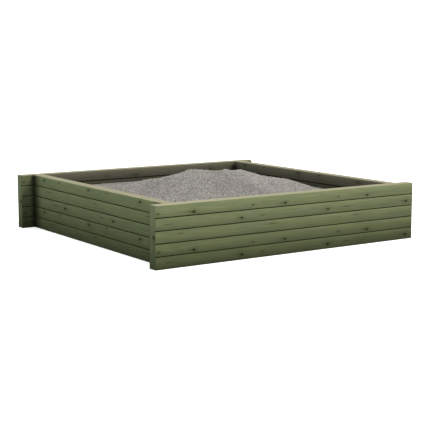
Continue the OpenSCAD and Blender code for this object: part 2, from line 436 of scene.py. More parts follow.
def shade_and_weather_group():
    """Masks from a point's place on the box. Shade is painted shade that darkens the foot and the
    corners, Inner face marks the faces beside the sand, Depth shade is painted shade that darkens
    those faces deeper below the rim, and Bleach marks the tops."""
    nodes, given, out = new_group(
        "sandbox_shade_and_weather",
        "ShaderNodeTree",
        {"Foot shade": "float"},
        {"Shade": "colour", "Inner face": "float", "Bleach": "float", "Depth shade": "float"},
    )
    place = nodes.place()
    x, y, z = nodes.split(place)
    x, y = nodes.math("ABSOLUTE", x), nodes.math("ABSOLUTE", y)
    normal = nodes.add("ShaderNodeNewGeometry").outputs["Normal"]
    facing = nodes.split(normal)[2]

    # Painted shade that darkens towards the foot, with an uneven edge, and a greener tint where it
    # is darkest
    uneven = nodes.noise(place, 7.0, 3.0, 0.6)
    low = nodes.math("SUBTRACT", 1.0, nodes.math("DIVIDE", z, RIM_Z))
    low = nodes.line(nodes.math("SUBTRACT", uneven, 0.5), 0.12, low)
    low = nodes.math("POWER", nodes.math("MAXIMUM", low, 0.0), 1.8)
    shade = nodes.math("SUBTRACT", 1.0, nodes.times(low, given["Foot shade"]))
    foot_tint = nodes.mix(shade, (0.92, 1.0, 0.80, 1.0), WHITE)

    # Painted shade in the outer corners: on the side walls, and on the long walls where they run
    # past
    past_side = nodes.math("SUBTRACT", x, NOOK[0])
    past_long = nodes.math("SUBTRACT", y, NOOK[1])
    on_side = nodes.step(nodes.math("ABSOLUTE", past_side), 8 * MM, 3 * MM)
    on_side = nodes.times(on_side, nodes.step(past_long, 6 * MM, 0.0))
    on_long = nodes.step(nodes.math("ABSOLUTE", past_long), 8 * MM, 3 * MM)
    on_long = nodes.times(on_long, nodes.step(past_side, -6 * MM, 0.0))
    side = nodes.times(nodes.step(past_long, -85 * MM, 0.0, 0.0, 0.88), on_side)
    long = nodes.times(nodes.step(past_side, 24 * MM, 0.0, 0.40, 0.80), on_long)
    upright = nodes.step(facing, 0.85, 0.3)
    outer = nodes.times(nodes.math("MAXIMUM", side, long), upright)
    outer = nodes.math("SUBTRACT", 1.0, outer)

    # Painted shade in the inner corners, below the rim
    aside = nodes.math("SUBTRACT", x, SAND_SPACE[0])
    behind = nodes.math("SUBTRACT", y, SAND_SPACE[1])
    depth = nodes.math("MAXIMUM", nodes.math("SUBTRACT", RIM_Z, z), 0.0)
    buried = nodes.step(depth, 6 * MM, 30 * MM)
    inner = nodes.reach(nodes.join(aside, behind, 0.0))
    inner = nodes.step(inner, 44 * MM, 0.0, 0.0, 0.8)
    inner = nodes.math("SUBTRACT", 1.0, nodes.times(inner, buried))
    shade = nodes.times(shade, nodes.times(outer, inner))
    nodes.feed(out["Shade"], nodes.tinted(foot_tint, shade))

    # A face counts as inside when it stands within a millimetre or so of the sand space
    beside = nodes.math(
        "MAXIMUM",
        nodes.math("DIVIDE", x, SAND_SPACE[0]),
        nodes.math("DIVIDE", y, SAND_SPACE[1]),
    )
    nodes.feed(out["Inner face"], nodes.step(beside, 1.0045, 1.0008))
    # Painted shade that darkens the inner faces deeper below the rim
    dust_and_depth_shade = nodes.math("DIVIDE", 1.0, nodes.line(depth, 1 / (32 * MM), 1.0))
    nodes.feed(out["Depth shade"], dust_and_depth_shade)
    nodes.feed(out["Bleach"], nodes.step(facing, 0.3, 0.85))
    return nodes.tree


# ------------------------------------------------------------- materials


def tint(colour, red=1.0, green=1.0, blue=1.0):
    """A setting's colour, with each channel scaled."""
    return (colour[0] * red, colour[1] * green, colour[2] * blue, 1.0)


def treated_wood(name, green, darkening, settings, groups):
    """Pressure-treated softwood, which reads the grain attributes that the pieces carry."""
    material, nodes = new_material(name)
    grain = nodes.attribute("grain")
    seed, knot_height, tone = nodes.split(nodes.attribute("plank"))
    weather = nodes.group(groups["weather"], {"Foot shade": darkening})
    knots = nodes.group(
        groups["knots"],
        {
            "Grain": grain,
            "Figure": nodes.attribute("figure"),
            "Knot height": knot_height,
            "Seed": seed,
            "Spacing": settings.knot_pitch,
            "Growth": nodes.line(weather["Inner face"], 0.3, 1.0),
        },
    )
    wood = nodes.group(groups["grain"], {"Grain": grain, "Seed": seed, "Bend": knots["Bend"]})

    # Green sides and bleached tops, each a little uneven
    patches, sky, bleached = wood["Patches"], weather["Bleach"], settings.bleached
    colour = nodes.mix(patches, tint(green, 0.94, 0.985, 1.0), tint(green, 1.05, 1.02, 0.98))
    top = nodes.mix(patches, tint(bleached, 1.03, 0.99, 0.98), tint(bleached, 0.96, 1.0, 0.95))
    colour = nodes.mix(sky, colour, top)

    # Painted shade on the faces inside the box, darker deeper below the rim, and painted shading on
    # every timber, lighter towards its top and darker towards its foot
    inner_face = nodes.times(weather["Inner face"], nodes.math("SUBTRACT", 1.0, sky))
    colour = nodes.mix(inner_face, colour, nodes.tinted(tint(settings.inner_shade), weather["Depth shade"]))
    below, above, washed = nodes.split(nodes.attribute("seam"))
    colour = nodes.tinted(colour, washed)

    # The grain, each timber's own tone, and the knots
    colour = nodes.tinted(colour, nodes.step(wood["Streaks"], 0.25, 0.75, 0.88, 1.10))
    colour = nodes.tinted(colour, nodes.line(wood["Rings"], 0.10, 0.93))
    colour = nodes.tinted(colour, nodes.line(knots["Halo"], -0.14, 1.0))
    colour = nodes.tinted(colour, tone)
    colour = nodes.mix(nodes.times(knots["Core"], 0.92), colour, tint(settings.knot))
    # Painted shade at the foot of the walls and in their corners
    colour = nodes.tinted(colour, weather["Shade"])

    # Dirt and painted shade in the grooves: a wider band along the foot of a timber, where the
    # shadow falls, than along its top edge, and wider and darker on the inner faces
    wider = nodes.line(inner_face, 0.5, 1.0)
    under = nodes.step(nodes.math("DIVIDE", below, wider), 3.5 * MM, 2.5 * MM)
    over = nodes.step(nodes.math("DIVIDE", above, wider), 1.4 * MM, 0.8 * MM)
    seam = nodes.times(nodes.math("MAXIMUM", under, over), 0.97)
    groove_dirt_and_shade = nodes.mix(inner_face, tint(settings.groove_dirt_and_shade), tint(settings.groove_dirt_and_shade, 0.2, 0.2, 0.2))
    colour = nodes.mix(seam, colour, groove_dirt_and_shade)

    height = nodes.line(wood["Streaks"], 0.6, nodes.times(wood["Rings"], 0.4))
    height = nodes.line(knots["Core"], -0.5, height)
    finish_surface(
        nodes,
        {"Specular IOR Level": 0.15},
        Base_Color=colour,
        Roughness=nodes.line(wood["Streaks"], 0.12, 0.72),
        Normal=nodes.bump(height, 0.35, 0.6 * MM),
    )
    return material


def plain_wood(groups):
    """Pale hardwood of the dowels."""
    material, nodes = new_material("dowel_beech")
    x, y, z = nodes.split(nodes.place())
    wood = nodes.group(groups["grain"], {"Grain": nodes.join(z, x, y), "Seed": 3.0, "Bend": 0.0})
    colour = nodes.mix(wood["Streaks"], (0.46, 0.31, 0.17, 1.0), (0.62, 0.45, 0.27, 1.0))
    normal = nodes.bump(wood["Streaks"], 0.3, 0.3 * MM)
    finish_surface(nodes, {"Roughness": 0.6}, Base_Color=colour, Normal=normal)
    return material


def zinc_plate():
    """Dull zinc plating with fine spangle and a little white bloom."""
    material, nodes = new_material("zinc_plate")
    place = nodes.place()
    spangle = nodes.split(nodes.cells(place, 260.0)["Color"])[0]
    bloom = nodes.step(nodes.noise(place, 45.0, 4.0, 0.6), 0.52, 0.72)
    colour = nodes.mix(spangle, (0.50, 0.51, 0.52, 1.0), (0.62, 0.63, 0.65, 1.0))
    colour = nodes.mix(nodes.times(bloom, 0.6), colour, (0.72, 0.72, 0.70, 1.0))
    finish_surface(
        nodes,
        {},
        Base_Color=colour,
        Roughness=nodes.line(bloom, 0.3, nodes.line(spangle, 0.1, 0.38)),
        Metallic=nodes.line(bloom, -0.5, 1.0),
        Normal=nodes.bump(bloom, 0.2, 0.1 * MM),
    )
    return material


def woven_tape(pitch=2.5 * MM):
    """Black ground sheet, woven from flat tapes."""
    material, nodes = new_material("woven_tape")
    place = nodes.place()
    tapes = nodes.scaled(place, 1 / pitch)
    x, y, _ = nodes.split(tapes)
    over = nodes.add("ShaderNodeTexChecker", {"Vector": tapes, "Scale": 1.0}).outputs[1]
    warp = nodes.math("PINGPONG", x, 0.5)
    weft = nodes.math("PINGPONG", y, 0.5)
    crown = nodes.add("ShaderNodeMix", {0: over, 2: warp, 3: weft}).outputs[0]
    worn = nodes.noise(place, 30.0, 3.0, 0.6)
    colour = nodes.mix(worn, (0.012, 0.012, 0.013, 1.0), (0.035, 0.034, 0.033, 1.0))
    finish_surface(
        nodes,
        {},
        Base_Color=colour,
        Roughness=nodes.line(worn, 0.2, 0.4),
        Normal=nodes.bump(crown, 0.6, 0.3 * MM),
    )
    return material


def grit_group():
    """Colour of one grain from a chance value, with the three grain colours."""
    nodes, given, out = new_group(
        "sandbox_grit",
        "ShaderNodeTree",
        {"Chance": "float", "Light": "colour", "Middle": "colour", "Dark": "colour"},
        {"Colour": "colour"},
    )
    colour = nodes.mix(nodes.step(given["Chance"], 0.40, 0.15), given["Middle"], given["Dark"])
    colour = nodes.mix(nodes.step(given["Chance"], 0.55, 0.85), colour, given["Light"])
    nodes.feed(out["Colour"], colour)
    return nodes.tree


def grit(nodes, groups, settings, chance):
    """The colour of the grain that a chance value picks."""
    inputs = {
        "Chance": chance,
        "Light": tint(settings.light),
        "Middle": tint(settings.middle),
        "Dark": tint(settings.dark),
    }
    return nodes.group(groups["grit"], inputs)["Colour"]


def sand_bed(settings, groups):
    """Packed coarse sand: every grain a cell of its own, with painted light on its crests, painted
    shade in its hollows, and patches of painted light and shade.
    """
    material, nodes = new_material("sand_bed")
    place = nodes.place()
    coarse, fine = nodes.cells(place, 230.0), nodes.cells(place, 560.0)
    chance = nodes.times(nodes.split(fine["Color"])[1], 0.3)
    chance = nodes.line(nodes.split(coarse["Color"])[0], 0.7, chance)
    colour = grit(nodes, groups, settings, chance)
    warm = nodes.step(nodes.noise(place, 40.0, 3.0, 0.6), 0.35, 0.65)
    warm = nodes.mix(warm, (0.95, 1.0, 0.97, 1.0), (1.06, 0.99, 0.99, 1.0))
    colour = nodes.tinted(colour, warm)
    uneven = nodes.step(nodes.noise(place, 5.0, 3.0, 0.55), 0.35, 0.70, 1.03, 0.96)
    colour = nodes.tinted(colour, uneven)
    # Painted light on the crests and painted shade in the hollows, less the painted patches
    tone_and_painted_shade = nodes.line(nodes.attribute("crest", "Fac"), 0.08, 1.0)
    tone_and_painted_shade = nodes.math("SUBTRACT", tone_and_painted_shade, nodes.attribute("darkening", "Fac"))
    height = nodes.math("ADD", coarse["Distance"], nodes.times(fine["Distance"], 0.5))
    finish_surface(
        nodes,
        {"Roughness": 0.92, "Specular IOR Level": 0.2},
        Base_Color=nodes.tinted(colour, tone_and_painted_shade),
        Normal=nodes.bump(height, 0.6, -0.8 * MM),
    )
    return material


def loose_grain(settings, groups):
    """Loose grains, each of one colour, under the same patches of painted light and shade as the
    sand.
    """
    material, nodes = new_material("loose_grain")
    colour = grit(nodes, groups, settings, nodes.attribute("tone", "Fac"))
    dust_and_depth_shade = nodes.noise(nodes.place(), 1400.0, 2.0, 0.6)
    # A fine dusting of tone, less the painted patches of the sand
    tone_and_painted_shade = nodes.math("SUBTRACT", nodes.line(dust_and_depth_shade, 0.3, 0.87), nodes.attribute("darkening", "Fac"))
    finish_surface(
        nodes,
        {"Roughness": 0.85, "Specular IOR Level": 0.3},
        Base_Color=nodes.tinted(colour, tone_and_painted_shade),
        Normal=nodes.bump(dust_and_depth_shade, 0.3, 0.2 * MM),
    )
    return material


# ---------------------------------------------------------- mesh helpers


def add_object(name, mesh):
    """Links a mesh to the scene as an object at the origin."""
    piece = bpy.data.objects.new(name, mesh)
    bpy.context.scene.collection.objects.link(piece)
    return piece


def reworked(mesh, change):
    """The mesh after a change that bmesh makes to it."""
    work = bmesh.new()
    work.from_mesh(mesh)
    change(work)
    work.to_mesh(mesh)
    work.free()
    return mesh


def closed_mesh(name, points, faces):
    """A mesh from points and faces, with its faces turned outwards."""
    mesh = bpy.data.meshes.new(name)
    mesh.from_pydata([tuple(p) for p in points], [], faces)
    return reworked(mesh, lambda work: bmesh.ops.recalc_face_normals(work, faces=work.faces))


def prism(name, outline, place, start, end):
    """Closed bar whose outline place() draws at its start and at its end."""
    count = len(outline)
    points = [place(s, t, h) for s in (start, end) for t, h in outline]
    sides = [(i, (i + 1) % count, (i + 1) % count + count, i + count) for i in range(count)]
    caps = [tuple(range(count)), tuple(range(count, 2 * count))]
    return closed_mesh(name, points, sides + caps)


def block(low, high):
    """Closed box between two corners."""
    points = list(itertools.product(*zip(low, high)))
    faces = [(0, 1, 3, 2), (4, 6, 7, 5), (0, 4, 5, 1), (2, 3, 7, 6), (0, 2, 6, 4), (1, 5, 7, 3)]
    return closed_mesh("block", points, faces)


def evaluated_mesh(piece):
    """The piece's mesh with its modifiers applied."""
    bpy.context.view_layer.update()
    shown = piece.evaluated_get(bpy.context.evaluated_depsgraph_get())
    return bpy.data.meshes.new_from_object(shown)


def cut(piece, cutters):
    """Cuts each closed mesh out of the piece."""
    for mesh in cutters:
        tool = add_object("cutter", mesh)
        modifier = piece.modifiers.new("cut", "BOOLEAN")
        modifier.operation = "DIFFERENCE"
        modifier.solver = "EXACT"
        modifier.object = tool
        made = evaluated_mesh(piece)
        piece.modifiers.remove(modifier)
        piece.data = made
        bpy.data.objects.remove(tool)


def merged_copy(node):
    """A closed copy of a CAD node's mesh."""
    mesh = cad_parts[node].data.copy()
    near = 0.01 * MM

    def merge(work):
        bmesh.ops.remove_doubles(work, verts=work.verts, dist=near)

    return reworked(mesh, merge)


def shade_by_angle(mesh, degrees=30):
    mesh.shade_smooth()
    mesh.set_sharp_from_angle(angle=math.radians(degrees))


def write_values(mesh, name, values):
    """Stores one number for each point of the mesh."""
    mesh.attributes.new(name, "FLOAT", "POINT").data.foreach_set("value", values)


def write_vectors(mesh, name, values):
    """Stores a vector for each point of the mesh, or one that they all share."""
    values = np.broadcast_to(np.asarray(values, np.float32), (len(mesh.vertices), 3))
    mesh.attributes.new(name, "FLOAT_VECTOR", "POINT").data.foreach_set("vector", values.ravel())


def write_wood(mesh, grain, figure, plank, seam):
    """Stores what the treated wood reads: the place in the grain; how strong the big knots, small
    knots and streaks are; seed, knot height and tone; and how far off the groove below and the
    groove above are, and the painted shading that lightens or darkens the wood."""
    write_vectors(mesh, "grain", grain)
    write_vectors(mesh, "figure", figure)
    write_vectors(mesh, "plank", plank)
    write_vectors(mesh, "seam", seam)


def points_of(mesh):
    places = np.empty(len(mesh.vertices) * 3, np.float32)
    mesh.vertices.foreach_get("co", places)
    return places.reshape(-1, 3).astype(float)


def dress(piece, material):
    """Gives a piece one material."""
    piece.data.materials.clear()
    piece.data.materials.append(material)


def finish_piece(piece, material, slot, *nodes):
    """Gives a piece its material, its body and any CAD nodes that it stands for. The slot is not
    used.
    """
    dress(piece, material)
    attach(piece, BODY)
    if nodes:
        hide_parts(*nodes)


# ---------------------------------------------------------------- timbers


def timber_outline(thickness, height, crown, arris, steps=4, crown_steps=8):
    """Outline (across, up) of a timber. The outer face, at across 0, is slightly rounded."""
    bow = (height**2 / 4 + crown**2) / (2 * crown)
    # A flat face has a point this far past each of its arrises, which keeps its shading flat
    support = 0.5 * MM

    def outer(h):
        return bow - math.sqrt(bow**2 - (h - height / 2) ** 2)

    near, far = outer(arris) + arris, thickness - arris
    centres = [(near, arris), (far, arris), (far, height - arris), (near, height - arris)]
    outline = []
    for quarter, (t, h) in enumerate(centres):
        for i in range(steps + 1):
            angle = math.radians(180 + 90 * (quarter + i / steps))
            outline.append((t + arris * math.cos(angle), h + arris * math.sin(angle)))
        if quarter < 3:
            t2, h2 = centres[quarter + 1]
            reach = Vector((t2 - t, h2 - h)).normalized() * support
            t1, h1 = outline[-1]
            side = (t1 - t, h1 - h)
            outline.append((t1 + reach.x, h1 + reach.y))
            outline.append((t2 + side[0] - reach.x, h2 + side[1] - reach.y))
    for i in range(1, crown_steps):
        h = height - arris - (height - 2 * arris) * i / crown_steps
        outline.append((outer(h), h))
    return outline


class Wall:
    """Places (along, across, up) on one wall: along it, in from its outer face, and up."""

    def __init__(self, name):
        along, inward, self.figures, self.tones, variation = WALLS[name]
        self.wash, self.drift, self.knot_shift = variation
        self.name = name
        self.along = Vector((*along, 0))
        self.inward = Vector((*inward, 0))
        low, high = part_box(f"{name}_timber_1")
        self.length = abs(self.along.dot(high - low))
        self.thickness = abs(self.inward.dot(high - low))
        self.corner = Vector((low.x, low.y, 0))
        if min(inward) < 0:
            self.corner -= self.inward * self.thickness

    def place(self, along, across, up):
        return self.corner + self.along * along + self.inward * across + Vector((0, 0, up))

    def coordinates(self, points):
        """Along, across and up for an array of points."""
        away = points - np.array(self.corner)
        return np.stack(
            [away @ np.array(self.along), away @ np.array(self.inward), away[:, 2]], axis=1
        )

    def block(self, low, high):
        """Closed box between two (along, across, up) corners."""
        a, b = self.place(*low), self.place(*high)
        return block([min(p) for p in zip(a, b)], [max(p) for p in zip(a, b)])

    def tongue(self, course):
        """Across and up extent of the end of a side timber's tongue."""
        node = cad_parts[f"{self.name}_timber_{course}"]
        local = self.coordinates(points_of(node.data))
        tip = local[local[:, 0] < 0.1 * MM]
        return tip.min(0), tip.max(0)


def long_timber_cuts(wall, bottom, top, corner):
    """Cutters for the ends of a front or rear timber: batten pockets and rounded corners."""
    past = 1 * MM
    cuts = []
    for end in (0.0, wall.length):
        sign = 1 if end == 0 else -1
        for across, turn in ((0.0, 1), (wall.thickness, -1)):
            outline = [(-past, -past), (corner, -past)]
            for degrees in range(0, 91, 15):
                a = math.radians(degrees)
                outline.append((corner - corner * math.sin(a), corner - corner * math.cos(a)))
            outline.append((-past, corner))

            def upright(z, s, t):
                return wall.place(end + sign * s, across + turn * t, z)

            cuts.append(prism("corner", outline, upright, bottom - past, top + past))
    for side in ("left", "right"):
        low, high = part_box(f"{wall.name}_{side}_end_batten")
        local = wall.coordinates(np.array([low, high]))
        low, high = local.min(0), local.max(0)
        reach = (-past, high[0]) if side == "left" else (low[0], wall.length + past)
        cuts.append(
            wall.block((reach[0], low[1], bottom - past), (reach[1], high[1], top + past))
        )
    return cuts


def tongue_grooves(wall, course, gap=0.3 * MM):
    """Cutters for the grooves that the side timbers' tongues slide into."""
    past = 1 * MM
    cuts = []
    for name in ("left", "right"):
        side = Wall(name)
        low, high = side.tongue(course)
        side_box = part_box(f"{name}_timber_{course}")
        tip = side_box[0 if wall.name == "front" else 1]
        face = wall.place(0, wall.thickness, 0)
        depth = abs(wall.inward.dot(tip) - wall.inward.dot(face))
        cheeks = [side.place(0, low[1] - gap, 0), side.place(0, high[1] + gap, 0)]
        local = wall.coordinates(np.array(cheeks))
        rise = past if course < max(COURSES) else gap
        cuts.append(
            wall.block(
                (local[:, 0].min(), wall.thickness - depth - gap, low[2] - past),
                (local[:, 0].max(), wall.thickness + past, high[2] + rise),
            )
        )
    return cuts


def side_timber_cuts(wall, course, bottom, top):
    """Cutters that leave a tongue at each end of a side timber."""
    past = 1 * MM
    low, high = wall.tongue(course)
    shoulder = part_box("front_timber_1")[1].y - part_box(f"{wall.name}_timber_1")[0].y
    cuts = []
    for end in ((-past, shoulder), (wall.length - shoulder, wall.length + past)):
        for across in ((-past, low[1]), (high[1], wall.thickness + past)):
            cuts.append(
                wall.block((end[0], across[0], bottom - past), (end[1], across[1], top + past))
            )
        if high[2] < top - past:
            above = (end[0], low[1] - past, high[2]), (end[1], high[1] + past, top + past)
            cuts.append(wall.block(*above))
    return cuts


def build_timber(wall, course, settings, material, chance):
    """One timber of a wall, cut to its joints, with its grain written on it."""
    name = f"{wall.name}_timber_{course}"
    low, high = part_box(name)
    height = high.z - low.z
    outline = timber_outline(wall.thickness, height, settings.crown, settings.arris)
    outline = [(t, h + low.z) for t, h in outline]
    piece = add_object(f"{name}_planed", prism(name, outline, wall.place, 0.0, wall.length))
    long = wall.name in ("front", "rear")
    if long:
        cuts = long_timber_cuts(wall, low.z, high.z, settings.corner)
        cuts += tongue_grooves(wall, course)
        cuts.append(merged_copy("end_batten_pins"))
    else:
        cuts = side_timber_cuts(wall, course, low.z, high.z)
    cuts += [merged_copy(f"{wall.name}_dowels"), merged_copy("angle_screws")]
    cut(piece, cuts)
    shade_by_angle(piece.data)

    figure, (long_knot, side_knot) = FIGURES[wall.figures[course - 1]]
    first_knot, knot_height = long_knot if long else side_knot
    first_knot += wall.knot_shift
    grain = wall.coordinates(points_of(piece.data))
    grain[:, 0] -= first_knot
    grain[:, 2] -= low.z
    # Any number that differs from timber to timber, so that no two have the same grain
    seed = 1.37 * course + 8.1 * list(WALLS).index(wall.name)
    plank = (seed, knot_height + chance.uniform(-1, 1) * MM, wall.tones[course - 1])
    up = grain[:, 2]
    below = up + (NO_GROOVE if course == min(COURSES) else 0.0)
    above = height - up + (NO_GROOVE if course == max(COURSES) else 0.0)
    share = (grain[:, 0] + first_knot) / wall.length
    # Painted shading: lighter towards the top of each timber and darker towards its foot, with a
    # drift along the wall
    washed = 1 + wall.wash * (up / height - 0.5) + wall.drift * (share - 0.5)
    write_wood(piece.data, grain, figure, plank, np.stack([below, above, washed], axis=1))
    finish_piece(piece, material, "treated_timber", name)


def soften(work):
    """Rounds every edge of a batten a little."""
    bmesh.ops.bevel(
        work, geom=work.edges[:], offset=0.8 * MM, segments=3, profile=0.5, affect="EDGES"
    )


def build_batten(corner, material, seed):
    """An upright end batten with softened edges and pin holes."""
    name = f"{corner}_end_batten"
    low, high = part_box(name)
    piece = add_object(f"{name}_planed", reworked(block(low, high), soften))
    cut(piece, [merged_copy("end_batten_pins")])
    shade_by_angle(piece.data)
    points = points_of(piece.data)
    middle = (low + high) / 2
    grain = np.stack([points[:, 2], points[:, 0] - middle.x, points[:, 1] - low.y], axis=1)
    grain[:, 0] -= high.z / 2
    # Drawn out across the grain, which widens the knot
    knot_place = 9 * MM
    grain[:, 2] = knot_place + 0.5 * (grain[:, 2] - knot_place)
    # A batten gets no painted shading along its height
    figure, tone, wash = (0.9, 0.0, 0.0), 1.0, 1.0
    write_wood(piece.data, grain, figure, (seed, knot_place, tone), (NO_GROOVE, NO_GROOVE, wash))
    finish_piece(piece, material, "treated_batten", name)


# ------------------------------------------------------------------- sand

# The sand's level at the walls, the height of a full-size mound, and how far in from the walls
# the mounds run out
SHORE_Z = 165 * MM
FULL_RISE = 65 * MM
SHORE = 150 * MM
# Broad mounds, the same as the CAD sand's: share of a full-size one, X and Y as shares of half the
# sand space, spread
MOUNDS = [
    (1.00, -0.23, 0.09, 145 * MM),
    (1.00, -0.11, -0.32, 130 * MM),
    (0.85, 0.12, 0.40, 70 * MM),
    (0.90, 0.32, 0.08, 90 * MM),
    (0.60, 0.69, -0.07, 140 * MM),
    (0.30, -0.60, 0.28, 115 * MM),
]
# Small heaps and hollows on top of them: height, X and Y as shares, spread
RAKED = [
    (-5 * MM, 0.136, 0.345, 24 * MM),
    (-4 * MM, 0.206, 0.190, 22 * MM),
    (-7 * MM, 0.296, 0.098, 26 * MM),
    (-5 * MM, 0.380, 0.030, 24 * MM),
    (-5 * MM, 0.550, -0.010, 40 * MM),
    (6 * MM, 0.264, 0.136, 13 * MM),
    (6 * MM, 0.368, 0.075, 13 * MM),
    (-3 * MM, 0.176, 0.275, 20 * MM),
    (-5 * MM, -0.360, 0.200, 70 * MM),
    (-2 * MM, 0.080, 0.370, 40 * MM),
    (-4 * MM, 0.780, -0.020, 45 * MM),
    (8 * MM, 0.300, -0.160, 42 * MM),
    (8 * MM, 0.260, -0.360, 50 * MM),
    (-7 * MM, 0.000, -0.200, 40 * MM),
    (-7 * MM, -0.080, -0.420, 46 * MM),
]
# Patches of painted shade, which are darker, and of painted light, below zero, for the shading of
# the valleys and ridges: strength, X and Y as shares, spread
PAINTED_PATCHES = [
    (0.23, 0.070, -0.090, 42 * MM),
    (0.17, -0.080, -0.260, 45 * MM),
    (0.07, -0.220, -0.340, 32 * MM),
    (0.14, -0.150, -0.430, 45 * MM),
    (0.19, 0.060, -0.350, 45 * MM),
    (0.17, -0.080, -0.560, 45 * MM),
    (0.19, 0.120, -0.540, 42 * MM),
    (0.13, -0.610, 0.020, 48 * MM),
    (0.05, -0.460, 0.060, 32 * MM),
    (-0.06, 0.350, -0.060, 50 * MM),
]


def heaps(xs, ys, table):
    """Sum of round heaps at each crossing of the grid lines."""
    total = np.zeros((len(ys), len(xs)))
    for rise, share_x, share_y, spread in table:
        dx = xs[None, :] - share_x * SAND_SPACE[0]
        dy = ys[:, None] - share_y * SAND_SPACE[1]
        total += rise * np.exp(-(dx**2 + dy**2) / (2 * spread**2))
    return total


def sand_heights(xs, ys, settings):
    """Height of the sand at each crossing of the grid lines."""
    inland = np.minimum(SAND_SPACE[0] - abs(xs[None, :]), SAND_SPACE[1] - abs(ys[:, None]))
    fade = np.clip(inland / SHORE, 0, 1)
    fade = fade**2 * (3 - 2 * fade)
    heights = SHORE_Z + FULL_RISE * fade * heaps(xs, ys, MOUNDS)
    if abs(heights.max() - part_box("sand_fill")[1].z) > 2 * MM:
        raise RuntimeError("the broad mounds don't match the CAD sand")
    heights += fade * heaps(xs, ys, RAKED)
    for j, y in enumerate(ys):
        for i, x in enumerate(xs):
            place = Vector((x, y, 0.0))
            hand = noise.fractal(place * 9.0, 0.9, 2.0, 3)
            fine = noise.fractal(place * 60.0 + Vector((5, 0, 0)), 0.6, 2.0, 3)
            # Calmer along the walls
            lively = 0.3 + 0.7 * fade[j, i]
            heights[j, i] += lively * (settings.hollows * hand + settings.ripple * fine)
    return heights


def crests(heights, reach):
    """From -1 in a hollow to 1 on a crest, against the mean height within a reach of cells."""
    around = heights
    # The mean over a square of cells, taken twice, which is smoother than once over a wider one
    for _ in range(2):
        for axis in (0, 1):
            pad = [(reach, reach) if a == axis else (0, 0) for a in (0, 1)]
            total = np.cumsum(np.pad(around, pad, mode="edge"), axis=axis)
            count = around.shape[axis]
            width = 2 * reach
            upper = np.take(total, range(width, width + count), axis=axis)
            lower = np.take(total, range(count), axis=axis)
            around = (upper - lower) / width
    full_crest = 8 * MM
    return np.clip((heights - around) / full_crest, -1, 1)


def grid_faces(nx, ny):
    """Faces of a grid of points that runs along X first."""
    return [
        (j * nx + i, j * nx + i + 1, (j + 1) * nx + i + 1, (j + 1) * nx + i)
        for j in range(ny - 1)
        for i in range(nx - 1)
    ]


def grid_rim(nx, ny):
    """Points round the edge of such a grid, in order."""
    rim = list(range(nx))
    rim += [j * nx + nx - 1 for j in range(1, ny)]
    rim += [(ny - 1) * nx + i for i in range(nx - 2, -1, -1)]
    rim += [j * nx for j in range(ny - 2, 0, -1)]
    return rim


def build_sand(settings, material):
    """The sand as one closed body whose top is the raked surface."""
    low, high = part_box("sand_fill")
    nx = round((high.x - low.x) / settings.spacing) + 1
    ny = round((high.y - low.y) / settings.spacing) + 1
    xs, ys = np.linspace(low.x, high.x, nx), np.linspace(low.y, high.y, ny)
    heights = sand_heights(xs, ys, settings)
    points = [(x, y, heights[j, i]) for j, y in enumerate(ys) for i, x in enumerate(xs)]
    faces, rim = grid_faces(nx, ny), grid_rim(nx, ny)
    first, count = len(points), len(rim)
    points += [(points[i][0], points[i][1], low.z) for i in rim]
    faces += [
        (rim[i], first + i, first + (i + 1) % count, rim[(i + 1) % count]) for i in range(count)
    ]
    faces.append(tuple(range(first, first + count)))
    mesh = closed_mesh("sand", points, faces)
    piece = add_object("sand_heap", mesh)
    # The crests and the patches carry the sand's painted light and shade
    for name, values in (("crest", crests(heights, 10)), ("darkening", heaps(xs, ys, PAINTED_PATCHES))):
        write_values(mesh, name, np.pad(values.ravel(), (0, count)))
    cut(piece, [angle_spaces()])
    shade_by_angle(piece.data, 60)
    finish_piece(piece, material, "sand", "sand_fill")
    return piece


def angle_spaces(clear=4 * MM):
    """The spaces that the sand leaves round the corner angles, as one mesh."""
    joined = bmesh.new()
    for corner in CORNERS:
        low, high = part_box(f"{corner}_angle")
        outer = [math.copysign(max(abs(a), abs(b)) + clear, a) for a, b in zip(low, high)]
        inner = [math.copysign(min(abs(a), abs(b)) - clear, a) for a, b in zip(low, high)]
        ends = [sorted(pair) for pair in zip(inner, outer)]
        ends[2] = (-clear, high.z + clear)
        joined.from_mesh(block([e[0] for e in ends], [e[1] for e in ends]))
    mesh = bpy.data.meshes.new("angle_spaces")
    joined.to_mesh(mesh)
    joined.free()
    return mesh


